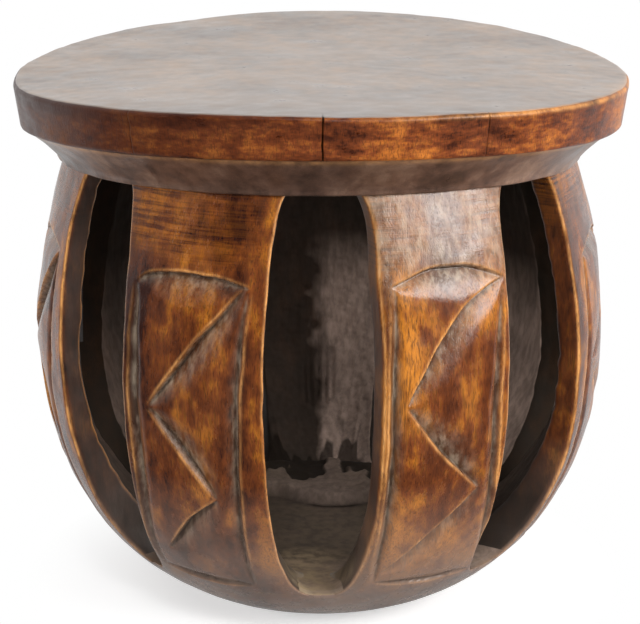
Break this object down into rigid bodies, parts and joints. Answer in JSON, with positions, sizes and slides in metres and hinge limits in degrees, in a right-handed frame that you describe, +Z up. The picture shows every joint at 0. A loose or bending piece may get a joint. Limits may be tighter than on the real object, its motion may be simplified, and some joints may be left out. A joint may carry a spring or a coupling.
{
  "type": "round stool",
  "caption": "Round carved wooden stool: thick flat seat on a coved collar, wide bent ribs with chip-carved zigzag panels and open windows between them, and a shallow footed base.",
  "frame": {"origin": "middle of the stool's footprint, on the surface it stands on", "axes": "+Z up the stool's axis to the seat; -Y towards the front, where a window faces the viewer; +X to the viewer's right"},
  "size_m": [0.4, 0.4, 0.356],
  "materials": {
    "seat_wood": "satin, waxed and worn, grey-brown",
    "collar_wood": "satin, dark brown",
    "rib_wood": "satin, worn orange-brown on raised edges, dark in the cuts",
    "base_wood": "satin, smooth grey-brown"
  },
  "bodies": {
    "root": {"seat_disc": "seat_wood", "collar_ring": "collar_wood", "rib_front_right": "rib_wood", "rib_right": "rib_wood", "rib_back_right": "rib_wood", "rib_back": "rib_wood", "rib_back_left": "rib_wood", "rib_left": "rib_wood", "rib_front_left": "rib_wood", "base_bowl": "base_wood"}
  },
  "joints": []
}
